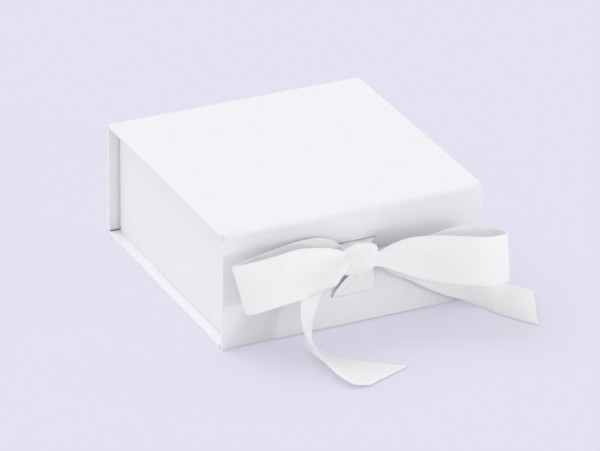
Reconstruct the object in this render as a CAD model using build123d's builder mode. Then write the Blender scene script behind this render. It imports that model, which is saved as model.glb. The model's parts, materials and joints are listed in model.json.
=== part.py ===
from build123d import *
import os
from math import pi

# Favor box: a paper-covered board case that opens like a book, with a ribbon bow on its front flap.
# Millimetres. Origin at the middle of the underside, +Z up, front flap towards -Y.

# Case
case_width = 112.0
case_depth = 112.0
case_height = 49.6
board = 1.6
paper = 0.2
turn_in = 12.0
liner_margin = 3.0
edge_round = 2 * paper
panel = board + 2 * paper
crease_gap = 0.2
crease_radius = panel + crease_gap
crease_ply = 2 * paper
flap_lift = 0.6

# Ribbon and its slits
ribbon_width = 22.0
ribbon_thickness = 0.5
slit_end_gap = 0.2
slit_side_gap = 0.35
slit_gather = 0.84
slit_length = slit_gather * ribbon_width + 2 * slit_end_gap
slit_height = ribbon_thickness + 2 * slit_side_gap
slit_drop = 13.6
slit_rise = 13.8
band_gap = 0.2

# Tray
side_reveal = 4.0
lid_gap = 0.3
flap_gap = ribbon_thickness + 2 * band_gap
floor_gap = 0.2

# Corner tabs and their adhesive strips
fold_radius = 2.5
tab_length = 24.0
tab_card = 0.8
tab_inset = 0.3
tab_bevel = 5.0
tape = 0.2
tape_width = 12.0
tape_start = 2.0
tape_inset = 6.0

# Magnets in the flap and steel discs in the front wall
magnet_radius = 5.0
magnet_thickness = 1.2
magnet_fit = 0.1
magnet_side_margin = 2.8
magnet_foot_margin = 2.0

# Bow
knot_width = 13.0
knot_depth = 8.0
knot_height = 12.5
knot_taper = 1.0
knot_round = 2.5
knot_out = 7.0
knot_drop = 17.6
bow_gap = 0.3
loop_spread = 2.5
tail_tuck = 2.8
tail_rest = ribbon_thickness / 2 + bow_gap

# Places that follow from the sizes
half_width = case_width / 2
half_depth = case_depth / 2
base_inside = paper + board
flap_inside = panel - half_depth
spine_inside = half_depth - panel
lid_inside = case_height - panel
tray_front = flap_inside + flap_gap
tray_side = half_width - side_reveal
wall_top = lid_inside - lid_gap
wall_height = wall_top - base_inside
wall_middle = (wall_top + base_inside) / 2
back_tab_face = spine_inside - tape
side_tab_face = tray_side - panel - tape
side_wall_back = back_tab_face - fold_radius
side_wall_length = side_wall_back - tray_front
front_wall_length = 2 * (side_tab_face - fold_radius)
crease_line_back = half_depth - crease_radius
crease_line_front = crease_radius - half_depth
crease_line_top = case_height - crease_radius
flap_length = crease_line_top - flap_lift
flap_middle = (crease_line_top + flap_lift) / 2
lid_length = case_depth - 2 * crease_radius
spine_length = case_height - 2 * crease_radius
base_length = crease_line_back - tray_front
base_middle = (crease_line_back + tray_front) / 2
upper_slit = case_height - slit_drop
lower_slit = slit_rise
magnet_across = half_width - paper - turn_in - magnet_radius - magnet_side_margin
magnet_level = flap_lift + paper + turn_in + magnet_radius + magnet_foot_margin
knot_level = case_height - knot_drop

# A lid or flap turns about the paper of its crease: this point keeps the paper's length when it lies flat
crease_turn = crease_radius * pi / 4
print("lid hinge y, z:", round(crease_line_back + crease_turn, 3), round(crease_line_top + crease_turn, 3))
print("flap hinge y, z:", round(crease_line_front - crease_turn, 3), round(crease_line_top + crease_turn, 3))

# Each panel's plane lies on its outer face, with z pointing into the box and y towards its free end
base_plane = Plane(origin=(0, base_middle, 0), x_dir=(-1, 0, 0), z_dir=(0, 0, 1))
spine_plane = Plane(origin=(0, half_depth, case_height / 2), x_dir=(1, 0, 0), z_dir=(0, -1, 0))
lid_plane = Plane(origin=(0, 0, case_height), x_dir=(1, 0, 0), z_dir=(0, 0, -1))
flap_plane = Plane(origin=(0, -half_depth, flap_middle), x_dir=(1, 0, 0), z_dir=(0, 1, 0))
side_plane = Plane(
    origin=(-tray_side, side_wall_back - side_wall_length / 2, wall_middle), x_dir=(0, 0, 1), z_dir=(1, 0, 0)
)
front_plane = Plane(origin=(0, tray_front, wall_middle), x_dir=(0, 0, 1), z_dir=(0, 1, 0))

os.makedirs("parts", exist_ok=True)


def save(piece, name):
    """Label a finished piece and write it."""
    piece.label = name
    export_step(piece, f"parts/{name}.step")


# Panels

def panel_core(plane, width, length, free_end):
    """Grey board of a panel, pressed in by the paper's thickness under the turned-in margins."""
    covered = paper if free_end else 0
    pressed = turn_in if free_end else 0
    core_width = width - 2 * paper
    core_length = length - covered
    with BuildPart() as core:
        with BuildSketch(plane.offset(paper)):
            with Locations((0, -covered / 2)):
                Rectangle(core_width, core_length)
        extrude(amount=board)
        with BuildSketch(plane.offset(base_inside)):
            with Locations((0, -covered / 2)):
                Rectangle(core_width, core_length)
            with Locations((0, -(covered + pressed) / 2)):
                Rectangle(core_width - 2 * turn_in, core_length - pressed, mode=Mode.SUBTRACT)
        extrude(amount=-paper, mode=Mode.SUBTRACT)
    return core.part


def panel_cover(plane, width, length, free_end, core):
    """Covering paper: the outer face, the wrapped edges and the margins turned in over the board."""
    with BuildPart() as cover:
        with BuildSketch(plane):
            Rectangle(width, length)
        extrude(amount=base_inside)
        ends = cover.faces().sort_by(Axis(plane.origin, plane.y_dir))
        creased = ends[0].edges()
        if not free_end:
            creased = creased + ends[-1].edges()
        fillet(cover.edges() - creased, radius=edge_round)
        add(core, mode=Mode.SUBTRACT)
    return cover.part


def panel_liner(plane, width, length, free_end):
    """Lining paper glued over the board and the turned-in margins."""
    margin = liner_margin if free_end else 0
    with BuildPart() as liner:
        with BuildSketch(plane.offset(base_inside)):
            with Locations((0, -margin / 2)):
                Rectangle(width - 2 * liner_margin, length - margin)
        extrude(amount=paper)
    return liner.part


def mirrored(piece):
    """The same piece on the other side of the box."""
    with BuildPart() as twin:
        mirror(piece, about=Plane.YZ)
    return twin.part


# Base
base_board = panel_core(base_plane, case_width, base_length, True)
base_wrap = panel_cover(base_plane, case_width, base_length, True, base_board)
save(base_board, "base_board")
save(base_wrap, "base_wrap")

# Spine, glued to the tray's back tabs
spine_board = panel_core(spine_plane, case_width, spine_length, False)
save(spine_board, "spine_board")
save(panel_cover(spine_plane, case_width, spine_length, False, spine_board), "spine_wrap")
save(panel_liner(spine_plane, case_width, spine_length, False), "spine_liner")

# Lid
lid_board = panel_core(lid_plane, case_width, lid_length, False)
save(lid_board, "lid_board")
save(panel_cover(lid_plane, case_width, lid_length, False, lid_board), "lid_wrap")
save(panel_liner(lid_plane, case_width, lid_length, False), "lid_liner")

# Flap, with two slits for the ribbon and pockets for the magnets
flap_core = panel_core(flap_plane, case_width, flap_length, True)
flap_cover = panel_cover(flap_plane, case_width, flap_length, True, flap_core)
flap_lining = panel_liner(flap_plane, case_width, flap_length, True)
slit_places = [(0, flap_middle - upper_slit), (0, flap_middle - lower_slit)]
magnet_places = [(-magnet_across, flap_middle - magnet_level), (magnet_across, flap_middle - magnet_level)]


def cut_slits(piece):
    """Cut the ribbon's two slits through one layer of the flap."""
    with BuildPart() as layer:
        add(piece)
        with BuildSketch(flap_plane):
            with Locations(*slit_places):
                SlotOverall(slit_length, slit_height)
        extrude(amount=panel, mode=Mode.SUBTRACT)
    return layer.part


with BuildPart() as flap_board:
    add(cut_slits(flap_core))
    with BuildSketch(flap_plane.offset(base_inside)):
        with Locations(*magnet_places):
            Circle(magnet_radius + magnet_fit)
    extrude(amount=-magnet_thickness, mode=Mode.SUBTRACT)

with BuildPart() as flap_magnets:
    with BuildSketch(flap_plane.offset(base_inside)):
        with Locations(*magnet_places):
            Circle(magnet_radius)
    extrude(amount=-magnet_thickness)

save(flap_board.part, "flap_board")
save(flap_magnets.part, "flap_magnets")
save(cut_slits(flap_cover), "flap_wrap")
save(cut_slits(flap_lining), "flap_liner")


# Creases: the covering and lining papers, glued together, that bend between two panels

def crease(line_y, line_z, towards_y, towards_z):
    """Quarter-round strip of paper about the line where two panels' edges meet."""
    quarter = (line_y + towards_y * crease_radius / 2, line_z + towards_z * crease_radius / 2)
    with BuildPart() as strip_of_paper:
        with BuildSketch(Plane.YZ.offset(-half_width)):
            with Locations((line_y, line_z)):
                Circle(crease_radius)
                Circle(crease_radius - crease_ply, mode=Mode.SUBTRACT)
            with Locations(quarter):
                Rectangle(crease_radius, crease_radius, mode=Mode.INTERSECT)
        extrude(amount=case_width)
    return strip_of_paper.part


save(crease(crease_line_back, crease_radius, 1, -1), "base_crease")
save(crease(crease_line_back, crease_line_top, 1, 1), "lid_crease")
save(crease(crease_line_front, crease_line_top, -1, 1), "flap_crease")

# Tray side walls
left_board = panel_core(side_plane, wall_height, side_wall_length, True)
left_wrap = panel_cover(side_plane, wall_height, side_wall_length, True, left_board)
left_liner = panel_liner(side_plane, wall_height, side_wall_length, True)
for piece, name in ((left_board, "wall_board"), (left_wrap, "wall_wrap"), (left_liner, "wall_liner")):
    save(mirrored(piece), "right_" + name)
    save(piece, "left_" + name)

# Tray front wall, with pockets for the steel discs on the side that faces the flap
front_core = panel_core(front_plane, wall_height, front_wall_length, False)
disc_level = magnet_level - wall_middle
disc_places = [(disc_level, -magnet_across), (disc_level, magnet_across)]

with BuildPart() as front_wall_board:
    add(front_core)
    with BuildSketch(front_plane.offset(paper)):
        with Locations(*disc_places):
            Circle(magnet_radius + magnet_fit)
    extrude(amount=magnet_thickness, mode=Mode.SUBTRACT)

with BuildPart() as steel_discs:
    with BuildSketch(front_plane.offset(paper)):
        with Locations(*disc_places):
            Circle(magnet_radius)
    extrude(amount=magnet_thickness)

save(front_wall_board.part, "front_wall_board")
save(steel_discs.part, "steel_discs")
save(panel_cover(front_plane, wall_height, front_wall_length, False, front_core), "front_wall_wrap")
save(panel_liner(front_plane, wall_height, front_wall_length, False), "front_wall_liner")

# Floor lining between the walls
with BuildPart() as floor_liner:
    floor_front = tray_front + panel + floor_gap
    floor_back = crease_line_back - floor_gap
    with BuildSketch(Plane.XY.offset(base_inside)):
        with Locations((0, (floor_front + floor_back) / 2)):
            Rectangle(2 * (tray_side - panel - floor_gap), floor_back - floor_front)
    extrude(amount=paper)
save(floor_liner.part, "floor_liner")

# Corner tabs: each folds round from the end of one wall and lies flat against its neighbour
tab_bottom = base_inside + tab_inset
tab_height = wall_height - 2 * tab_inset

with BuildPart() as back_left_tab:
    fold_x = fold_radius - tray_side
    with BuildSketch(Plane.XY.offset(tab_bottom)):
        with Locations((fold_x, side_wall_back)):
            Circle(fold_radius)
            Circle(fold_radius - crease_ply, mode=Mode.SUBTRACT)
        with Locations((fold_x - fold_radius / 2, side_wall_back + fold_radius / 2)):
            Rectangle(fold_radius, fold_radius, mode=Mode.INTERSECT)
        with Locations((fold_x, back_tab_face)):
            Rectangle(tab_length, tab_card, align=(Align.MIN, Align.MAX))
    extrude(amount=tab_height)
    chamfer(back_left_tab.edges().filter_by(Axis.Y).sort_by(Axis.X)[-2:], length=tab_bevel)

with BuildPart() as front_left_tab:
    fold_y = tray_front + fold_radius
    with BuildSketch(Plane.XY.offset(tab_bottom)):
        with Locations((fold_radius - side_tab_face, fold_y)):
            Circle(fold_radius)
            Circle(fold_radius - crease_ply, mode=Mode.SUBTRACT)
        with Locations((fold_radius / 2 - side_tab_face, fold_y - fold_radius / 2)):
            Rectangle(fold_radius, fold_radius, mode=Mode.INTERSECT)
        with Locations((-side_tab_face, fold_y)):
            Rectangle(tab_card, tab_length, align=(Align.MIN, Align.MIN))
    extrude(amount=tab_height)
    chamfer(front_left_tab.edges().filter_by(Axis.X).sort_by(Axis.Y)[-2:], length=tab_bevel)

save(mirrored(back_left_tab.part), "back_right_tab")
save(mirrored(front_left_tab.part), "front_right_tab")
save(back_left_tab.part, "back_left_tab")
save(front_left_tab.part, "front_left_tab")

# Adhesive strips between the tabs and what they are pressed against
with BuildPart() as tab_tapes:
    with BuildSketch(Plane.XY.offset(tab_bottom + tape_inset)):
        with Locations((fold_x + tape_start, back_tab_face)):
            Rectangle(tape_width, tape, align=(Align.MIN, Align.MIN))
        with Locations((-fold_x - tape_start, back_tab_face)):
            Rectangle(tape_width, tape, align=(Align.MAX, Align.MIN))
        with Locations((-side_tab_face, fold_y + tape_start)):
            Rectangle(tape, tape_width, align=(Align.MAX, Align.MIN))
        with Locations((side_tab_face, fold_y + tape_start)):
            Rectangle(tape, tape_width, align=(Align.MIN, Align.MIN))
    extrude(amount=tab_height - 2 * tape_inset)
save(tab_tapes.part, "tab_tapes")


# Ribbon: each stretch is a thin strip through stations across it.
# A station is one edge's place (sideways, out from the flap, up), the direction across the ribbon
# to its other edge, and the share of the ribbon's width that it spans where it is gathered.

def strip(stations):
    """Thin strip of ribbon through its stations."""
    middles = []
    spans = []
    for (x, out, up), (to_x, to_out, to_up), share in stations:
        span = Vector(to_x, -to_out, to_up).normalized() * ribbon_width * share
        middles.append(Vector(x, -half_depth - out, up) + span / 2)
        spans.append(span)
    runs = [(after - before).normalized() for before, after in zip(middles, middles[1:])]
    sections = []
    for middle, span, run_in, run_out in zip(middles, spans, runs[:1] + runs, runs + runs[-1:]):
        across = span.normalized()
        run = run_in + run_out
        along = run - across * run.dot(across)
        with BuildSketch(Plane(origin=middle, x_dir=across, z_dir=along)) as section:
            Rectangle(span.length, ribbon_thickness)
        sections.append(section.sketch)
    with BuildPart() as ribbon:
        for start, end in zip(sections, sections[1:]):
            loft([start, end], ruled=True)
    return ribbon.part


knot_side = knot_width / 2 + bow_gap
knot_foot = knot_level - knot_height / 2 - bow_gap
knot_back = knot_out - knot_depth / 2 - bow_gap
loop_front = knot_out + loop_spread
loop_back = knot_out - loop_spread
tail_back = knot_out - tail_tuck

# Left loop: out to the left along its front, round the fold and back behind
left_loop = [
    ((-knot_side, loop_front, knot_level - 4.0), (0.0, 0.0, 1.0), 0.39),
    ((-19.0, 12.0, knot_level - 8.0), (2.0, -1.0, 17.5), 0.8),
    ((-34.0, 15.0, knot_level - 9.5), (4.0, -2.5, 20.5), 1.0),
    ((-46.0, 13.0, knot_level - 11.2), (2.0, -2.0, 21.0), 1.0),
    ((-50.5, 9.5, knot_level - 12.7), (-5.0, -1.5, 20.8), 1.0),
    ((-46.0, 6.5, knot_level - 12.2), (1.0, -1.5, 21.0), 1.0),
    ((-30.0, 3.5, knot_level - 11.2), (2.0, -1.0, 21.2), 1.0),
    ((-17.0, 3.0, knot_level - 8.0), (3.0, -0.8, 17.5), 0.8),
    ((-knot_side, loop_back, knot_level - 4.0), (0.0, 0.0, 1.0), 0.39),
]

# Right loop: longer, standing out from the flap, with a round end
right_loop = [
    ((knot_side, loop_front, knot_level - 4.3), (0.0, 0.0, 1.0), 0.35),
    ((11.0, 10.2, knot_level - 5.7), (0.3, 0.5, 11.1), 0.5),
    ((24.6, 14.0, knot_level - 11.2), (-0.5, 1.0, 19.5), 0.89),
    ((44.3, 20.5, knot_level - 15.0), (-0.7, 1.5, 22.0), 1.0),
    ((53.0, 19.8, knot_level - 17.0), (-1.0, 1.2, 22.4), 1.0),
    ((60.2, 16.0, knot_level - 17.4), (-2.5, 1.4, 21.6), 1.0),
    ((57.5, 12.4, knot_level - 15.6), (-3.0, 2.0, 21.0), 0.97),
    ((48.6, 10.9, knot_level - 14.4), (-1.0, 1.4, 21.3), 0.97),
    ((38.0, 9.4, knot_level - 12.8), (0.0, 0.8, 19.7), 0.9),
    ((28.0, 8.0, knot_level - 10.5), (0.8, 0.6, 15.4), 0.7),
    ((18.0, 7.0, knot_level - 7.8), (1.0, 0.4, 11.0), 0.5),
    ((knot_side, knot_out, knot_level - 4.3), (0.0, 0.0, 1.0), 0.35),
]


def tail_level(share):
    """Height of a tail's lower edge, from the table (0) up to the knot (1)."""
    return tail_rest + share * (knot_level - tail_rest)


# Left tail: down through the loop, gathered and turning, then opening flat on the table
left_tail = [
    ((-knot_side, knot_out, tail_level(0.82)), (0.0, 0.0, 1.0), 0.3),
    ((-11.6, 6.4, tail_level(0.75)), (-2.4, 0.0, 6.8), 0.33),
    ((-17.0, 8.6, tail_level(0.63)), (-5.5, 0.2, 6.2), 0.38),
    ((-21.0, 10.5, tail_level(0.49)), (-8.0, 2.5, 5.4), 0.45),
    ((-23.2, 11.5, tail_level(0.34)), (-7.7, 4.7, 5.5), 0.48),
    ((-23.6, 12.0, tail_level(0.2)), (-7.2, 7.2, 5.0), 0.52),
    ((-23.5, 12.6, tail_level(0.11)), (-6.5, 10.0, 5.7), 0.6),
    ((-22.3, 14.0, tail_level(0.02)), (-7.3, 13.4, 6.8), 0.76),
    ((-20.0, 17.8, tail_level(0.0)), (-9.2, 15.8, 5.4), 0.87),
    ((-15.5, 25.2, tail_level(0.0)), (-11.5, 17.4, 3.6), 0.96),
    ((-9.8, 30.8, tail_level(0.0)), (-13.4, 16.8, 1.6), 0.98),
    ((3.7, 40.8, tail_level(0.0)), (-20.2, 8.0, 0.0), 1.0),
]

# Right tail: down behind the loop, close to the flap, then out and opening to its full width on the table
right_tail = [
    ((knot_side, tail_back, tail_level(0.82)), (0.0, 0.0, 1.0), 0.3),
    ((16.9, 3.9, tail_level(0.61)), (0.7, -0.6, 11.9), 0.54),
    ((22.8, 3.6, tail_level(0.5)), (2.0, -0.6, 15.9), 0.73),
    ((31.0, 3.3, tail_level(0.32)), (3.2, -0.3, 20.2), 0.93),
    ((38.7, 3.4, tail_level(0.18)), (3.9, -0.5, 21.2), 0.98),
    ((45.9, 4.4, tail_level(0.08)), (4.9, -1.5, 19.6), 0.92),
    ((51.7, 8.8, tail_level(0.012)), (6.7, -6.2, 14.5), 0.78),
    ((53.5, 12.4, tail_level(0.006)), (8.0, -10.6, 10.2), 0.77),
    ((55.6, 16.4, tail_level(0.005)), (9.0, -14.6, 5.3), 0.82),
    ((60.5, 24.4, tail_level(0.004)), (8.9, -19.4, 3.7), 0.98),
    ((65.6, 31.3, tail_level(0.0)), (8.1, -20.0, 3.9), 1.0),
]

# Band: from the knot into the lower slit, up behind the flap and out of the upper slit to the knot
band_behind = -panel - band_gap - ribbon_thickness / 2
band_front = slit_height / 2
band_sections = [
    (0.41, (knot_out + knot_back) / 2, knot_foot),
    (0.65, knot_back, (knot_foot + lower_slit) / 2),
    (0.82, band_front, lower_slit + slit_height),
    (slit_gather, 0.0, lower_slit),
    (slit_gather, band_behind, lower_slit),
    (slit_gather, band_behind, lower_slit + slit_height),
    (slit_gather, band_behind, upper_slit - slit_height),
    (slit_gather, band_behind, upper_slit),
    (slit_gather, 0.0, upper_slit),
    (0.72, band_front, upper_slit - slit_height / 2),
    (0.5, knot_back, knot_level + 1.5),
]
band = [((-ribbon_width * share / 2, out, up), (1.0, 0.0, 0.0), share) for share, out, up in band_sections]

save(strip(left_loop), "ribbon_left_loop")
save(strip(right_loop), "ribbon_right_loop")
save(strip(left_tail), "ribbon_left_tail")
save(strip(right_tail), "ribbon_right_tail")
save(strip(band), "ribbon_band")

# Knot: the turn of ribbon that holds the loops, a rounded barrel lying across the bow
with BuildPart() as knot:
    knot_sections = ((-1, knot_taper), (0, 0), (1, knot_taper))
    for place, taper in knot_sections:
        section = Plane(
            origin=(place * knot_width / 2, -half_depth - knot_out, knot_level), x_dir=(0, 1, 0), z_dir=(1, 0, 0)
        )
        with BuildSketch(section):
            RectangleRounded(knot_depth - 2 * taper, knot_height - 2 * taper, knot_round)
    loft()
save(knot.part, "ribbon_knot")
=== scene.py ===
import json
import math

import bpy
import numpy as np
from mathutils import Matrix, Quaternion, Vector


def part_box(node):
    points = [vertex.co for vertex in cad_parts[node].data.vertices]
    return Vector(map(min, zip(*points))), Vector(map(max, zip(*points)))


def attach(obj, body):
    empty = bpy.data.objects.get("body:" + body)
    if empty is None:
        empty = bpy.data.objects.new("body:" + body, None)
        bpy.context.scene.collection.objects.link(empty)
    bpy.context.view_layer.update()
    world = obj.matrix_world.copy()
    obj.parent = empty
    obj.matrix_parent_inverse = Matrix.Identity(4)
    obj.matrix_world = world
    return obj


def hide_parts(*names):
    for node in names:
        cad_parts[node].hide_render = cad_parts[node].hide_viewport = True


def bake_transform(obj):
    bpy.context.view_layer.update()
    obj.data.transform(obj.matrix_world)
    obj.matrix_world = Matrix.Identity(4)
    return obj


# White book-style favor box with a grosgrain bow on its front flap. Metres, in the frame of the solids.
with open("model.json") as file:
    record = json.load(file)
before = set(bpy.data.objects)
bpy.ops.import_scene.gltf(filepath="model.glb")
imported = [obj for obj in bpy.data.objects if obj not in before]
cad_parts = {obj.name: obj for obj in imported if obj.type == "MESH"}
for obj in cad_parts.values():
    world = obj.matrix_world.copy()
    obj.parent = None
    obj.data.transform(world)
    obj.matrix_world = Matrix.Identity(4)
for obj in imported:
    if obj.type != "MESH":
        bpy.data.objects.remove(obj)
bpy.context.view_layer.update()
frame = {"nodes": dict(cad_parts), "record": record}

MM = 0.001

# Sizes read from the solids
flap_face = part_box("flap_wrap")[0].y
case_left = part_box("lid_wrap")[0].x
case_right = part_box("lid_wrap")[1].x
knot_low, knot_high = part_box("ribbon_knot")

# Ribbon
RIBBON_WIDTH = 22 * MM
RIBBON_THICKNESS = 0.34 * MM
RIB_PITCH = 1.15 * MM
RIB_HEIGHT = 0.032 * MM
RIB_SAMPLES = 4
ACROSS_SAMPLES = 22
BEAD_REACH = 0.45
BEAD_RIPPLE = 0.25
STATION_POINTS = 5
STATION_MIDDLE = STATION_POINTS // 2
PLEAT_START = 0.7
PLEAT_ROUNDNESS = 0.5
CURVE_DETAIL = 40
SHORTEST = 1e-12


# Materials

NOISE_LOW = 0.3
NOISE_HIGH = 0.7
MOTTLE_SCALE = 190.0
GLOSS_SCALE = 700.0
FILM_SCALE = 900.0
WARP_SCALE = 700.0
PAPER_STRANDS = (300.0, 1400.0, 1400.0)
BOARD_FLECKS = (900.0, 2600.0, 2600.0)
DISC_SCRATCHES = (4000.0, 300.0, 4000.0)
RIBBON_SLUBS = (1500.0, 220.0, 1.0)
PAPER_BUMP = 0.02 * MM
BOARD_BUMP = 0.05 * MM
FILM_BUMP = 0.02 * MM
WEAVE_BUMP = 0.03 * MM
RIBBON_GLOW_DEPTH = 1.2 * MM


def new_material(name):
    """Empty node material with a Principled shader, its tree and the shader."""
    material = bpy.data.materials.new(name)
    material.use_nodes = True
    tree = material.node_tree
    return material, tree, tree.nodes["Principled BSDF"]


def add_node(tree, kind, **settings):
    """One node, with its properties and its unlinked inputs set by name."""
    node = tree.nodes.new(kind)
    for key, value in settings.items():
        if hasattr(node, key):
            setattr(node, key, value)
        else:
            node.inputs[key.replace("_", " ")].default_value = value
    return node


def object_place(tree):
    """The place on the object, for patterns that run through it."""
    return tree.nodes.new("ShaderNodeTexCoord").outputs["Object"]


def noise(tree, vector, scale, detail=4.0, roughness=0.55, distortion=0.0):
    """Noise texture on a vector, as its factor socket."""
    node = add_node(tree, "ShaderNodeTexNoise", Scale=scale, Detail=detail, Roughness=roughness)
    node.inputs["Distortion"].default_value = distortion
    tree.links.new(vector, node.inputs["Vector"])
    return node.outputs["Fac"]


def stretched(tree, vector, scale):
    """A vector scaled per axis, for fibres and threads that run one way."""
    node = add_node(tree, "ShaderNodeMapping")
    node.inputs["Scale"].default_value = scale
    tree.links.new(vector, node.inputs["Vector"])
    return node.outputs["Vector"]


def ramp(tree, factor, low, high):
    """Colour between two colours by a factor."""
    node = tree.nodes.new("ShaderNodeValToRGB")
    node.color_ramp.elements[0].color = (*low, 1.0)
    node.color_ramp.elements[1].color = (*high, 1.0)
    node.color_ramp.elements[0].position = NOISE_LOW
    node.color_ramp.elements[1].position = NOISE_HIGH
    tree.links.new(factor, node.inputs["Fac"])
    return node.outputs["Color"]


def spread(tree, factor, low, high):
    """A factor's middle range stretched to a range of values."""
    node = add_node(tree, "ShaderNodeMapRange")
    node.inputs["From Min"].default_value = NOISE_LOW
    node.inputs["From Max"].default_value = NOISE_HIGH
    node.inputs["To Min"].default_value = low
    node.inputs["To Max"].default_value = high
    tree.links.new(factor, node.inputs["Value"])
    return node.outputs["Result"]


def total(tree, *sockets):
    """Sum of several values."""
    result = sockets[0]
    for socket in sockets[1:]:
        node = add_node(tree, "ShaderNodeMath", operation="ADD")
        tree.links.new(result, node.inputs[0])
        tree.links.new(socket, node.inputs[1])
        result = node.outputs[0]
    return result


def bump(tree, shader, height, distance, strength=1.0):
    """Bump the shader's normal by a height of the given distance."""
    node = add_node(tree, "ShaderNodeBump", Strength=strength, Distance=distance)
    tree.links.new(height, node.inputs["Height"])
    tree.links.new(node.outputs["Normal"], shader.inputs["Normal"])


def paper(name, low, high, fibre=2600.0, roughness=(0.62, 0.78)):
    """Matte coated paper: faint mottling, short fibres in the surface and a soft uneven gloss."""
    material, tree, shader = new_material(name)
    place = object_place(tree)
    mottle = noise(tree, place, MOTTLE_SCALE, detail=6.0)
    tree.links.new(ramp(tree, mottle, low, high), shader.inputs["Base Color"])
    gloss = noise(tree, place, GLOSS_SCALE)
    tree.links.new(spread(tree, gloss, *roughness), shader.inputs["Roughness"])
    grain = noise(tree, place, fibre, detail=3.0, roughness=0.7)
    strands = noise(tree, stretched(tree, place, PAPER_STRANDS), 1.0, detail=2.0, distortion=0.6)
    bump(tree, shader, total(tree, grain, strands), PAPER_BUMP, strength=0.55)
    shader.inputs["Specular IOR Level"].default_value = 0.35
    shader.inputs["Sheen Weight"].default_value = 0.04
    return material


def grey_board():
    """Raw recycled board with dark and light flecks."""
    material, tree, shader = new_material("grey_board")
    place = object_place(tree)
    flecks = noise(tree, stretched(tree, place, BOARD_FLECKS), 1.0, detail=5.0, distortion=0.8)
    colour = ramp(tree, flecks, (0.3, 0.285, 0.265), (0.42, 0.405, 0.38))
    tree.links.new(colour, shader.inputs["Base Color"])
    bump(tree, shader, flecks, BOARD_BUMP)
    shader.inputs["Roughness"].default_value = 0.92
    return material


def adhesive():
    """Double-sided adhesive strip with a milky film."""
    material, tree, shader = new_material("adhesive")
    place = object_place(tree)
    cloudy = noise(tree, place, FILM_SCALE, detail=3.0)
    colour = ramp(tree, cloudy, (0.72, 0.71, 0.67), (0.8, 0.79, 0.76))
    tree.links.new(colour, shader.inputs["Base Color"])
    bump(tree, shader, cloudy, FILM_BUMP)
    shader.inputs["Roughness"].default_value = 0.35
    return material


def plated(name, low, high):
    """Plated metal disc with fine turning scratches."""
    material, tree, shader = new_material(name)
    place = object_place(tree)
    scratches = noise(tree, stretched(tree, place, DISC_SCRATCHES), 1.0, detail=4.0)
    tree.links.new(ramp(tree, scratches, low, high), shader.inputs["Base Color"])
    tree.links.new(spread(tree, scratches, 0.22, 0.4), shader.inputs["Roughness"])
    shader.inputs["Metallic"].default_value = 1.0
    return material


def grosgrain():
    """Woven ribbon: fine threads that run over the ribs, a soft sheen and slight shading in the weave."""
    material, tree, shader = new_material("grosgrain")
    uv = tree.nodes.new("ShaderNodeUVMap")
    uv.uv_map = "weave"
    flat = uv.outputs["UV"]
    warp = add_node(tree, "ShaderNodeTexWave", wave_type="BANDS", bands_direction="Y")
    warp.inputs["Scale"].default_value = WARP_SCALE
    warp.inputs["Distortion"].default_value = 1.5
    warp.inputs["Detail"].default_value = 2.0
    warp.inputs["Detail Scale"].default_value = 1.5
    tree.links.new(flat, warp.inputs["Vector"])
    slub = noise(tree, stretched(tree, flat, RIBBON_SLUBS), 1.0, detail=4.0)
    colour = ramp(tree, slub, (0.925, 0.925, 0.94), (0.945, 0.945, 0.96))
    tree.links.new(colour, shader.inputs["Base Color"])
    tree.links.new(spread(tree, slub, 0.55, 0.72), shader.inputs["Roughness"])
    bump(tree, shader, total(tree, warp.outputs["Fac"], slub), WEAVE_BUMP, strength=0.4)
    shader.inputs["Sheen Weight"].default_value = 0.25
    shader.inputs["Sheen Roughness"].default_value = 0.4
    shader.inputs["Specular IOR Level"].default_value = 0.4
    shader.inputs["Subsurface Weight"].default_value = 0.15
    shader.inputs["Subsurface Radius"].default_value = (RIBBON_GLOW_DEPTH,) * 3
    shader.inputs["Subsurface Scale"].default_value = 1.0
    return material


cover_paper = paper("cover_paper", (0.886, 0.878, 0.918), (0.898, 0.89, 0.93))
lining_paper = paper(
    "lining_paper", (0.86, 0.858, 0.87), (0.89, 0.888, 0.9), fibre=2000.0, roughness=(0.7, 0.85)
)
tab_card = paper("tab_card", (0.865, 0.862, 0.875), (0.895, 0.892, 0.905), fibre=2200.0)
ribbon_cloth = grosgrain()
slot_materials = {
    "covering_paper": cover_paper,
    "lining_paper": lining_paper,
    "tab_card": tab_card,
    "grey_board": grey_board(),
    "adhesive": adhesive(),
    "magnet": plated("magnet_plating", (0.5, 0.49, 0.47), (0.62, 0.61, 0.59)),
    "steel": plated("steel_plating", (0.48, 0.48, 0.49), (0.58, 0.58, 0.59)),
    "ribbon": ribbon_cloth,
}

for subpart in frame["record"]["subparts"]:
    solid = frame["nodes"][subpart["node"]]
    solid.data.materials.clear()
    solid.data.materials.append(slot_materials[subpart["material_slot"]])


# Meshes

def new_piece(name, points, faces, material, smooth=True):
    """Mesh object in the scene from points and faces."""
    mesh = bpy.data.meshes.new(name)
    mesh.from_pydata([tuple(p) for p in points], [], faces)
    mesh.validate()
    mesh.update()
    mesh.materials.append(material)
    for polygon in mesh.polygons:
        polygon.use_smooth = smooth
    piece = bpy.data.objects.new(name, mesh)
    bpy.context.scene.collection.objects.link(piece)
    return piece


def knots_of(points):
    """Curve parameters of points, spaced by the root of their distances."""
    steps = np.sqrt(np.linalg.norm(np.diff(points, axis=0), axis=1))
    return np.concatenate([[0.0], np.cumsum(steps)])


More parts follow.
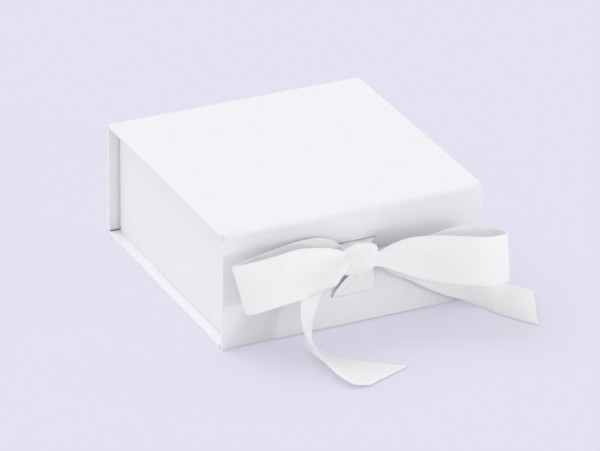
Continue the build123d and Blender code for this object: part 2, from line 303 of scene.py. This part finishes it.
def spline(values, knots, at):
    """Smooth curve through values (n, ...) at increasing knots, read at the given parameters."""
    values = np.asarray(values, float)
    gaps = np.diff(knots)
    shape = (-1,) + (1,) * (values.ndim - 1)
    slopes = np.diff(values, axis=0) / gaps.reshape(shape)
    tangents = np.concatenate([slopes[:1], np.zeros_like(values[1:-1]), slopes[-1:]])
    before, after = gaps[:-1].reshape(shape), gaps[1:].reshape(shape)
    tangents[1:-1] = (slopes[:-1] * after + slopes[1:] * before) / (before + after)
    span = np.clip(np.searchsorted(knots, at, side="right") - 1, 0, len(gaps) - 1)
    gap = gaps[span].reshape(shape)
    t = ((at - knots[span]) / gaps[span]).reshape(shape)
    return (
        values[span] * (2 * t**3 - 3 * t**2 + 1)
        + tangents[span] * gap * (t**3 - 2 * t**2 + t)
        + values[span + 1] * (3 * t**2 - 2 * t**3)
        + tangents[span + 1] * gap * (t**3 - t**2)
    )


def even_parameters(values, knots, step):
    """Parameters at even steps of length along a curve, and the lengths there."""
    fine = np.linspace(knots[0], knots[-1], CURVE_DETAIL * len(knots))
    line = spline(values, knots, fine)
    lengths = np.concatenate([[0.0], np.cumsum(np.linalg.norm(np.diff(line, axis=0), axis=1))])
    count = max(2, int(round(lengths[-1] / step)))
    wanted = np.linspace(0.0, lengths[-1], count + 1)
    return np.interp(wanted, lengths, fine), wanted


def unit(vectors):
    """Vectors of length one."""
    return vectors / np.maximum(np.linalg.norm(vectors, axis=-1, keepdims=True), SHORTEST)


def surface_normals(grid):
    """Normals of a grid of points (along, across, 3)."""
    return unit(np.cross(np.gradient(grid, axis=0), np.gradient(grid, axis=1)))


def place(point):
    """Frame point in metres from (sideways, out from the flap, up) in millimetres."""
    x, out, up = point
    return np.array([x * MM, flap_face - out * MM, up * MM])


def ribbon_strip(node, stations, pleats=0.0, pleat_count=2.5, pleat_reach=9 * MM, ends=(True, True)):
    """Ribbed ribbon through its stations: one edge, the other edge, and how far the points across
    stand proud, in mm. The pleats fade with the distance from the ends that are held in the knot."""
    spots = np.linspace(0, 1, STATION_POINTS)
    rows = []
    for edge, other, _ in stations:
        rows.append([place(edge) + (place(other) - place(edge)) * share for share in spots])
    rows = np.array(rows)
    knots = knots_of(rows[:, STATION_MIDDLE])
    alongs = np.gradient(rows[:, STATION_MIDDLE], knots, axis=0)
    outwards = unit(np.cross(unit(alongs), unit(rows[:, -1] - rows[:, 0])))
    offsets = np.array([proud for _, _, proud in stations]) * MM
    rows = rows + outwards[:, None] * offsets[:, :, None]
    at, lengths = even_parameters(rows[:, STATION_MIDDLE], knots, RIB_PITCH / RIB_SAMPLES)
    columns = spline(rows, knots, at)
    shares = np.linspace(0, 1, ACROSS_SAMPLES + 1)
    grid = np.swapaxes(spline(np.swapaxes(columns, 0, 1), spots, shares), 0, 1)

    fade = np.zeros(len(lengths))
    if ends[0]:
        fade += np.exp(-lengths / pleat_reach)
    if ends[1]:
        fade += np.exp(-(lengths[-1] - lengths) / pleat_reach)
    fold = np.sin(2 * math.pi * pleat_count * shares + PLEAT_START)
    fold = fold * np.sin(math.pi * shares) ** PLEAT_ROUNDNESS
    normals = surface_normals(grid)
    grid = grid + normals * (pleats * MM * fade[:, None] * fold[None, :])[:, :, None]
    return ribbon_mesh(node, grid, lengths)


def ribbon_mesh(node, grid, lengths):
    """Closed ribbon round a grid of points (along, across): ribs on both faces and a beaded selvedge."""
    name = node.replace("ribbon", "bow")
    along_count, across_count = grid.shape[:2]
    normals = surface_normals(grid)
    rib = np.cos(2 * math.pi * lengths / RIB_PITCH)
    half = RIBBON_THICKNESS / 2 + RIB_HEIGHT * rib
    upper = grid + normals * half[:, None, None]
    lower = grid - normals * half[:, None, None]
    sides = []
    for edge, inner in ((0, 1), (-1, -2)):
        outward = unit(grid[:, edge] - grid[:, inner])
        bead = RIBBON_THICKNESS * (BEAD_REACH + BEAD_RIPPLE * rib)
        sides.append(grid[:, edge] + outward * bead[:, None])
    points = np.concatenate([upper.reshape(-1, 3), lower.reshape(-1, 3), sides[0], sides[1]])

    count = along_count * across_count

    def top(i, j):
        return i * across_count + j

    def under(i, j):
        return count + top(i, j)

    def side(i, which):
        return 2 * count + which * along_count + i

    last = across_count - 1
    faces = []
    for i in range(along_count - 1):
        for j in range(last):
            faces.append((top(i, j), top(i + 1, j), top(i + 1, j + 1), top(i, j + 1)))
            faces.append((under(i, j), under(i, j + 1), under(i + 1, j + 1), under(i + 1, j)))
        faces.append((top(i, 0), side(i, 0), side(i + 1, 0), top(i + 1, 0)))
        faces.append((side(i, 0), under(i, 0), under(i + 1, 0), side(i + 1, 0)))
        faces.append((top(i, last), top(i + 1, last), side(i + 1, 1), side(i, 1)))
        faces.append((side(i, 1), side(i + 1, 1), under(i + 1, last), under(i, last)))
    for i, turn in ((0, 1), (along_count - 1, -1)):
        for j in range(last):
            faces.append((top(i, j), top(i, j + 1), under(i, j + 1), under(i, j))[::turn])
        faces.append((top(i, 0), under(i, 0), side(i, 0))[::turn])
        faces.append((top(i, last), side(i, 1), under(i, last))[::turn])

    piece = new_piece(name, points, faces, ribbon_cloth)
    shares = np.linspace(0, RIBBON_WIDTH, across_count)
    face_weave = np.stack(np.meshgrid(lengths, shares, indexing="ij"), axis=-1).reshape(-1, 2)
    weave = np.concatenate([
        face_weave,
        face_weave,
        np.stack([lengths, np.zeros(along_count)], axis=-1),
        np.stack([lengths, np.full(along_count, RIBBON_WIDTH)], axis=-1),
    ])
    layer = piece.data.uv_layers.new(name="weave")
    corners = np.zeros(len(piece.data.loops), int)
    piece.data.loops.foreach_get("vertex_index", corners)
    layer.data.foreach_set("uv", weave[corners].astype(np.float32).ravel())
    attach(piece, "flap")
    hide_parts(node)
    return piece


# Creases

CREASE_PLY = 0.4 * MM
CREASE_ACROSS = 20
CREASE_ALONG = 56
END_INSET = 0.1 * MM
END_PLY = 0.4 * MM
END_CLEARANCE = 0.08 * MM
SCORE_PLACES = (0.08, 0.92)
SCORE_WIDTH = 0.05
SCORE_DEPTH = 0.05 * MM
SWELL_HEIGHT = 0.02 * MM
SWELL_RATE = 1.85 / MM
SWELL_SLANT = 2


def crease_strip(name, solid, towards_y, towards_z):
    """Strip of two glued papers that bends round between two panels, faintly scored along both
    of its sides, with the paper turned in at its two ends."""
    low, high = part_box(solid)
    radius = high.z - low.z
    line_y = low.y if towards_y > 0 else high.y
    line_z = low.z if towards_z > 0 else high.z

    def around(x, r, angle):
        return (x, line_y + towards_y * r * math.cos(angle), line_z + towards_z * r * math.sin(angle))

    points = []
    for layer in (0.0, CREASE_PLY):
        for i in range(CREASE_ALONG + 1):
            x = low.x + (high.x - low.x) * i / CREASE_ALONG
            for j in range(CREASE_ACROSS + 1):
                share = j / CREASE_ACROSS
                angle = share * math.pi / 2
                score = sum(math.exp(-((share - line) / SCORE_WIDTH) ** 2) for line in SCORE_PLACES)
                swell = SWELL_HEIGHT * math.sin(SWELL_RATE * x + SWELL_SLANT * share)
                r = radius - layer - SCORE_DEPTH * score + swell * math.sin(math.pi * share)
                points.append(around(x, r, angle))
    across = CREASE_ACROSS + 1
    layer_count = across * (CREASE_ALONG + 1)

    def at(i, j, layer):
        return layer * layer_count + i * across + j

    faces = []
    for i in range(CREASE_ALONG):
        for j in range(CREASE_ACROSS):
            faces.append((at(i, j, 0), at(i + 1, j, 0), at(i + 1, j + 1, 0), at(i, j + 1, 0)))
            faces.append((at(i, j, 1), at(i, j + 1, 1), at(i + 1, j + 1, 1), at(i + 1, j, 1)))
        for j, turn in ((0, 1), (CREASE_ACROSS, -1)):
            faces.append((at(i, j, 0), at(i, j, 1), at(i + 1, j, 1), at(i + 1, j, 0))[::turn])
    for j in range(CREASE_ACROSS):
        for i, turn in ((0, -1), (CREASE_ALONG, 1)):
            faces.append((at(i, j, 0), at(i, j, 1), at(i, j + 1, 1), at(i, j + 1, 0))[::turn])
    for x, inner in ((low.x + END_INSET, low.x + END_PLY), (high.x - END_INSET, high.x - END_PLY)):
        start = len(points)
        for layer_x in (x, inner):
            points.append((layer_x, line_y, line_z))
            for j in range(across):
                angle = j / CREASE_ACROSS * math.pi / 2
                points.append(around(layer_x, radius - CREASE_PLY - END_CLEARANCE, angle))
        turn = 1 if inner > x else -1
        second = start + across + 1
        for j in range(1, across):
            faces.append((start, start + j + 1, start + j)[::turn])
            faces.append((second, second + j, second + j + 1)[::turn])
            faces.append((start + j, start + j + 1, second + j + 1, second + j)[::turn])
        faces.append((start, start + 1, second + 1, second)[::turn])
        faces.append((start, second, second + across, start + across)[::turn])
    if towards_y * towards_z < 0:
        faces = [face[::-1] for face in faces]
    piece = new_piece(name, points, faces, cover_paper)
    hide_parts(solid)
    return piece, Vector(around(0, radius, 0)), Vector(around(0, radius, math.pi / 2))


base_paper, _, _ = crease_strip("base_crease_paper", "base_crease", 1, -1)
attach(base_paper, "tray")
back_paper, spine_side, lid_side = crease_strip("lid_crease_paper", "lid_crease", 1, 1)
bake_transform(back_paper)
front_paper, flap_side, lid_front = crease_strip("flap_crease_paper", "flap_crease", -1, 1)
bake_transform(front_paper)


# Lining papers over the boards' edges inside the creases, seen when the lid or the flap is open
EDGE_PAPER = 0.1 * MM
EDGE_SIDE_MARGIN = 0.6 * MM
EDGE_REACH = 1.65 * MM
BOX_FACES = ((0, 2, 3, 1), (4, 5, 7, 6), (0, 1, 5, 4), (2, 6, 7, 3), (0, 4, 6, 2), (1, 3, 7, 5))


def edge_paper(name, body, depth, height):
    """Thin strip along a board's edge, between two places in depth and two in height."""
    sides = (case_left + EDGE_SIDE_MARGIN, case_right - EDGE_SIDE_MARGIN)
    corners = [(x, y, z) for x in sides for y in sorted(depth) for z in sorted(height)]
    piece = new_piece(name, corners, BOX_FACES, lining_paper, smooth=False)
    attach(piece, body)


back_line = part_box("lid_crease")[0]
front_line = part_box("flap_crease")[1].y
lid_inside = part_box("lid_liner")[0].z
spine_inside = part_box("spine_liner")[0].y
flap_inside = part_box("flap_liner")[1].y
edge_top = (back_line.z, back_line.z + EDGE_PAPER)
lid_edge = (lid_inside, back_line.z + EDGE_REACH)
edge_paper("spine_edge_paper", "tray", (spine_inside, back_line.y + EDGE_REACH), edge_top)
edge_paper("lid_back_edge_paper", "lid", (back_line.y, back_line.y + EDGE_PAPER), lid_edge)
edge_paper("lid_front_edge_paper", "lid", (front_line, front_line - EDGE_PAPER), lid_edge)
edge_paper("flap_edge_paper", "flap", (flap_inside, front_line - EDGE_REACH), edge_top)


# Bow. Stations are in millimetres: sideways, out from the flap, up.
FLAT = (0,) * STATION_POINTS

left_loop = ribbon_strip("ribbon_left_loop", [
    ((-3.0, 8.5, 29.0), (-3.0, 8.5, 35.5), FLAT),
    ((-7.0, 8.0, 27.8), (-6.8, 8.5, 36.0), (0, -1.2, -2.0, -0.8, 0)),
    ((-11.5, 6.8, 25.8), (-11.0, 9.0, 38.6), (0, -4.4, -4.8, -0.6, 0)),
    ((-16.5, 7.6, 23.6), (-16.3, 10.0, 41.0), (0, -6.6, -3.6, 0.3, 0)),
    ((-21.5, 10.0, 22.8), (-22.4, 11.0, 42.8), (0, -3.4, -0.8, 0.5, 0)),
    ((-29.5, 13.4, 23.1), (-29.4, 11.0, 43.6), (0, 0.4, 0.7, 0.5, 0)),
    ((-41.0, 14.0, 22.2), (-38.5, 10.8, 42.5), FLAT),
    ((-48.5, 12.5, 20.6), (-50.5, 9.6, 41.0), FLAT),
    ((-50.6, 10.2, 19.7), (-55.7, 7.8, 40.2), FLAT),
    ((-48.5, 8.2, 19.9), (-50.5, 6.4, 40.6), FLAT),
    ((-38.0, 6.0, 20.6), (-36.5, 4.0, 41.6), FLAT),
    ((-27.0, 4.2, 21.6), (-25.2, 2.4, 42.2), FLAT),
    ((-17.0, 3.6, 23.0), (-15.5, 2.2, 41.6), FLAT),
    ((-10.5, 3.8, 26.5), (-9.3, 2.8, 38.8), FLAT),
    ((-6.8, 4.5, 28.0), (-6.8, 4.5, 36.5), FLAT),
    ((-3.0, 5.5, 29.0), (-3.0, 5.5, 35.5), FLAT),
], pleats=0.5)

right_loop = ribbon_strip("ribbon_right_loop", [
    ((3.0, 8.5, 28.5), (3.0, 8.5, 35.0), FLAT),
    ((7.0, 9.0, 28.0), (6.8, 9.0, 34.8), (0, -0.4, -0.2, 0.4, 0)),
    ((11.0, 10.0, 26.3), (11.3, 10.5, 37.4), (0, -0.9, -0.9, 0.4, 0)),
    ((17.7, 12.0, 23.4), (17.5, 12.5, 39.6), (0, -1.2, -1.3, 0.5, 0)),
    ((24.6, 14.0, 20.8), (24.1, 15.0, 40.3), (0, -1.0, -1.1, 0.3, 0)),
    ((33.4, 17.2, 18.8), (32.5, 18.5, 40.2), (0, -0.4, -0.5, 0, 0)),
    ((44.3, 20.5, 17.0), (43.6, 22.0, 39.0), FLAT),
    ((53.0, 19.8, 15.0), (52.0, 21.0, 37.4), FLAT),
    ((60.2, 16.0, 14.6), (57.7, 17.4, 36.2), FLAT),
    ((57.5, 12.4, 16.4), (54.6, 14.4, 37.2), FLAT),
    ((48.6, 10.9, 17.6), (47.6, 12.3, 38.8), FLAT),
    ((38.0, 9.4, 19.2), (38.0, 10.2, 38.8), FLAT),
    ((28.0, 8.0, 21.5), (28.8, 8.6, 36.8), FLAT),
    ((18.0, 7.0, 24.2), (19.0, 7.4, 35.0), FLAT),
    ((11.0, 6.8, 26.4), (11.4, 7.0, 34.6), FLAT),
    ((6.8, 7.0, 27.8), (6.8, 7.0, 34.8), FLAT),
    ((3.0, 7.0, 28.5), (3.0, 7.0, 35.0), FLAT),
], pleats=0.5)

left_tail = ribbon_strip("ribbon_left_tail", [
    ((-3.0, 7.0, 27.5), (-3.0, 7.0, 33.0), FLAT),
    ((-7.2, 6.8, 27.6), (-7.8, 6.4, 35.0), (0, 1.2, 0, -1.2, 0)),
    ((-12.6, 6.4, 25.6), (-17.0, 5.8, 36.6), (0, 1.6, 0, -1.6, 0)),
    ((-17.9, 8.4, 20.5), (-26.4, 7.8, 32.4), (0, 1.0, 0, -1.6, 0)),
    ((-21.0, 10.5, 16.0), (-28.8, 12.6, 21.9), (0, -0.2, -0.4, -0.3, 0)),
    ((-23.2, 11.5, 11.2), (-31.3, 18.4, 17.6), (0, 0.1, 0.1, 0, 0)),
    ((-23.6, 12.0, 6.8), (-31.2, 21.6, 12.7), (0, 1.0, 1.2, 0.6, 0)),
    ((-23.5, 12.6, 3.9), (-30.2, 24.8, 10.3), (0, 2.2, 2.4, 0.9, 0)),
    ((-22.3, 14.0, 1.2), (-29.4, 29.0, 8.4), (0, 1.6, 2.2, 1.6, 0)),
    ((-20.0, 17.8, 0.6), (-28.6, 34.4, 6.2), (0, 1.0, 1.4, 1.0, 0)),
    ((-15.5, 25.2, 0.6), (-26.8, 42.8, 4.2), (0, 0.6, 0.9, 0.6, 0)),
    ((-9.8, 30.8, 0.6), (-23.2, 47.6, 2.2), (0, 0.3, 0.5, 0.3, 0)),
    ((3.7, 40.8, 0.6), (-16.5, 48.8, 0.6), FLAT),
], pleats=0.9, ends=(True, False))

right_tail = ribbon_strip("ribbon_right_tail", [
    ((3.0, 4.6, 27.5), (3.0, 4.6, 33.0), FLAT),
    ((7.4, 4.0, 26.3), (7.4, 4.0, 33.2), FLAT),
    ((16.9, 3.9, 19.7), (17.6, 3.3, 31.6), FLAT),
    ((22.8, 3.6, 16.3), (24.8, 3.0, 32.2), FLAT),
    ((31.0, 3.2, 10.6), (34.2, 2.9, 30.8), FLAT),
    ((38.7, 3.4, 6.2), (42.6, 2.9, 27.4), FLAT),
    ((45.9, 4.4, 3.0), (50.8, 2.9, 22.6), FLAT),
    ((51.7, 8.8, 0.9), (58.4, 2.6, 15.4), FLAT),
    ((55.6, 16.4, 0.7), (64.6, 1.8, 6.0), FLAT),
    ((60.5, 24.4, 0.7), (69.4, 5.0, 4.4), FLAT),
    ((65.6, 31.3, 0.6), (73.7, 11.4, 4.4), FLAT),
], pleats=0.4, ends=(True, False))

# Stretch through the two slits and behind the flap: out from the flap, up
SLIT_HALF = 9.3
BEHIND_FLAP = (
    (0.0, 13.5), (-1.2, 13.42), (-2.4, 14.2), (-2.45, 16.8), (-2.45, 24.0),
    (-2.45, 32.5), (-2.4, 35.3), (-1.2, 36.1), (0.0, 35.9),
)
behind = [((-SLIT_HALF, out, up), (SLIT_HALF, out, up), FLAT) for out, up in BEHIND_FLAP]
band = ribbon_strip("ribbon_band", [
    ((-1.6, 5.0, 28.5), (4.6, 5.0, 28.5), FLAT),
    ((-2.4, 3.9, 25.2), (6.4, 3.6, 25.2), (0, -0.3, 0.3, -0.3, 0)),
    ((-5.4, 2.4, 21.2), (8.0, 1.8, 21.2), (0, -0.3, 0.3, -0.3, 0)),
    ((-7.9, 1.5, 17.5), (8.9, 0.9, 17.5), (0, -0.2, 0.2, -0.2, 0)),
    ((-9.1, 0.6, 14.4), (9.2, 0.45, 14.4), FLAT),
    *behind,
    ((-8.0, 0.8, 35.4), (7.8, 0.8, 35.4), FLAT),
    ((-5.5, 2.7, 33.8), (5.5, 2.7, 33.8), FLAT),
    ((-4.5, 4.2, 32.8), (4.5, 4.2, 32.8), FLAT),
], pleats=0.35, pleat_reach=6 * MM)


# Knot: one turn of ribbon round the bow's middle, gathered to half its width with its edges rolled under
KNOT_TURN_SAMPLES = 168
KNOT_ACROSS_SAMPLES = 40
KNOT_ROLL = math.radians(130)
KNOT_SHOULDER = 0.85
KNOT_TUCK = 1.7 * MM
KNOT_CROWN = 0.7 * MM
KNOT_SQUARE = 2.3
KNOT_SIDEWAYS = -1.6 * MM
KNOT_HALF_WIDTH = 7.1 * MM
KNOT_FOLDS = ((2.1, 0.0, 0.9, 0.14 * MM), (3.7, 1.3, -1.4, 0.1 * MM))
KNOT_LEAN = 0.7 * MM


def knot_turn():
    """Turn of ribbon that holds the bow: a rounded band with soft folds that wander round it."""
    middle = (knot_low + knot_high) / 2
    half = (knot_high - knot_low) / 2
    rolls = np.linspace(-KNOT_ROLL, KNOT_ROLL, KNOT_ACROSS_SAMPLES + 1)
    angles = np.linspace(math.pi, 3 * math.pi, KNOT_TURN_SAMPLES + 1)
    grid = np.zeros((len(angles), len(rolls), 3))
    for i, angle in enumerate(angles):
        c, s = math.cos(angle), math.sin(angle)
        reach = (abs(c) ** KNOT_SQUARE + abs(s) ** KNOT_SQUARE) ** (-1 / KNOT_SQUARE)
        for j, roll in enumerate(rolls):
            share = math.copysign(abs(math.sin(roll)) ** KNOT_SHOULDER, roll)
            inset = KNOT_TUCK * (1 - math.cos(roll)) + KNOT_CROWN * share**2
            for count, start, wander, height in KNOT_FOLDS:
                phase = math.pi * count * share + start + wander * math.sin(angle + start)
                inset += height * (1 - math.cos(phase)) * math.cos(roll / 2)
            grid[i, j] = (
                middle.x + KNOT_SIDEWAYS + share * KNOT_HALF_WIDTH + KNOT_LEAN * s,
                middle.y - (half.y * reach - inset) * c,
                middle.z + (half.z * reach - inset) * s,
            )
    crown = grid[:, KNOT_ACROSS_SAMPLES // 2]
    steps = np.linalg.norm(np.diff(crown, axis=0), axis=1)
    lengths = np.concatenate([[0.0], np.cumsum(steps)])
    return ribbon_mesh("ribbon_knot", grid, lengths)


knot = knot_turn()


# Stage

BACKDROP = (0.775, 0.76, 0.871)
FLOOR_BOUNCE = (0.93, 0.93, 0.94)
FLOOR_GLOW = 0.5
FLOOR_REACH = 4.0
SURROUND_LEVEL = 0.78
OVERHEAD_TOWARDS = (-0.3, 0.5, 0.81)
OVERHEAD_STRENGTH = 0.85
OVERHEAD_ANGLE = 40
FRONT_TOWARDS = (0.63, -0.78, 0.06)
FRONT_STRENGTH = 0.44
FRONT_ANGLE = 10


def floor():
    """Plain pale floor that keeps the box's shadow."""
    material, tree, shader = new_material("floor")
    light = tree.nodes.new("ShaderNodeLightPath")
    shade = add_node(tree, "ShaderNodeMix", data_type="RGBA")
    tree.links.new(light.outputs["Is Camera Ray"], shade.inputs["Factor"])
    shade.inputs[6].default_value = (*FLOOR_BOUNCE, 1)
    shade.inputs[7].default_value = (*[(1 - FLOOR_GLOW) * value for value in BACKDROP], 1)
    tree.links.new(shade.outputs[2], shader.inputs["Base Color"])
    glow = add_node(tree, "ShaderNodeMath", operation="MULTIPLY")
    tree.links.new(light.outputs["Is Camera Ray"], glow.inputs[0])
    glow.inputs[1].default_value = FLOOR_GLOW
    shader.inputs["Emission Color"].default_value = (*BACKDROP, 1)
    tree.links.new(glow.outputs[0], shader.inputs["Emission Strength"])
    shader.inputs["Roughness"].default_value = 1.0
    shader.inputs["Specular IOR Level"].default_value = 0.0
    corners = [(-FLOOR_REACH, -FLOOR_REACH, 0), (FLOOR_REACH, -FLOOR_REACH, 0)]
    corners += [(FLOOR_REACH, FLOOR_REACH, 0), (-FLOOR_REACH, FLOOR_REACH, 0)]
    plane = new_piece("floor", corners, [(0, 1, 2, 3)], material, smooth=False)


def surroundings(level):
    """Even soft light from all round, with the backdrop's colour where it is seen."""
    world = bpy.data.worlds.new("studio")
    bpy.context.scene.world = world
    world.use_nodes = True
    tree = world.node_tree
    tree.nodes.clear()
    light = tree.nodes.new("ShaderNodeLightPath")
    seen = add_node(tree, "ShaderNodeMath", operation="ADD", use_clamp=True)
    tree.links.new(light.outputs["Is Camera Ray"], seen.inputs[0])
    glossy = add_node(tree, "ShaderNodeMath", operation="ADD", use_clamp=True)
    tree.links.new(light.outputs["Is Glossy Ray"], glossy.inputs[0])
    tree.links.new(light.outputs["Is Transmission Ray"], glossy.inputs[1])
    tree.links.new(glossy.outputs[0], seen.inputs[1])
    lamp = add_node(tree, "ShaderNodeBackground", Color=(1, 1, 1, 1), Strength=level)
    sight = add_node(tree, "ShaderNodeBackground", Color=(*BACKDROP, 1), Strength=1.0)
    mix = tree.nodes.new("ShaderNodeMixShader")
    tree.links.new(seen.outputs[0], mix.inputs[0])
    tree.links.new(lamp.outputs[0], mix.inputs[1])
    tree.links.new(sight.outputs[0], mix.inputs[2])
    output = tree.nodes.new("ShaderNodeOutputWorld")
    tree.links.new(mix.outputs[0], output.inputs["Surface"])


def sun(name, towards, strength, angle):
    """Soft distant lamp that stands in the given direction from the box."""
    lamp = bpy.data.lights.new(name, "SUN")
    lamp.energy = strength
    lamp.angle = math.radians(angle)
    holder = bpy.data.objects.new(name, lamp)
    holder.rotation_mode = "QUATERNION"
    holder.rotation_quaternion = Vector(towards).to_track_quat("Z", "Y")
    bpy.context.scene.collection.objects.link(holder)


CAMERA_AZIMUTH = math.radians(-25.82)
CAMERA_ELEVATION = math.radians(26.43)
CAMERA_ROLL = math.radians(0.74)
CAMERA_TARGET = Vector((3.69, 0, 16.8)) * MM
CAMERA_DISTANCE = 1.777
CAMERA_LENS = 266.8
CAMERA_SENSOR = 36.0


def camera():
    """Long lens at the photograph's angle."""
    data = bpy.data.cameras.new("camera")
    data.lens = CAMERA_LENS
    data.sensor_width = CAMERA_SENSOR
    holder = bpy.data.objects.new("camera", data)
    flat = math.cos(CAMERA_ELEVATION)
    sideways = math.sin(CAMERA_AZIMUTH) * flat
    forward = -math.cos(CAMERA_AZIMUTH) * flat
    back = Vector((sideways, forward, math.sin(CAMERA_ELEVATION)))
    holder.location = CAMERA_TARGET + back * CAMERA_DISTANCE
    holder.rotation_mode = "QUATERNION"
    upright = (-back).to_track_quat("-Z", "Y")
    holder.rotation_quaternion = upright @ Quaternion((0, 0, 1), CAMERA_ROLL)
    bpy.context.scene.collection.objects.link(holder)
    bpy.context.scene.camera = holder


floor()
surroundings(SURROUND_LEVEL)
sun("overhead", OVERHEAD_TOWARDS, OVERHEAD_STRENGTH, OVERHEAD_ANGLE)
sun("front_right", FRONT_TOWARDS, FRONT_STRENGTH, FRONT_ANGLE)
camera()
bpy.context.scene.view_settings.view_transform = "Standard"
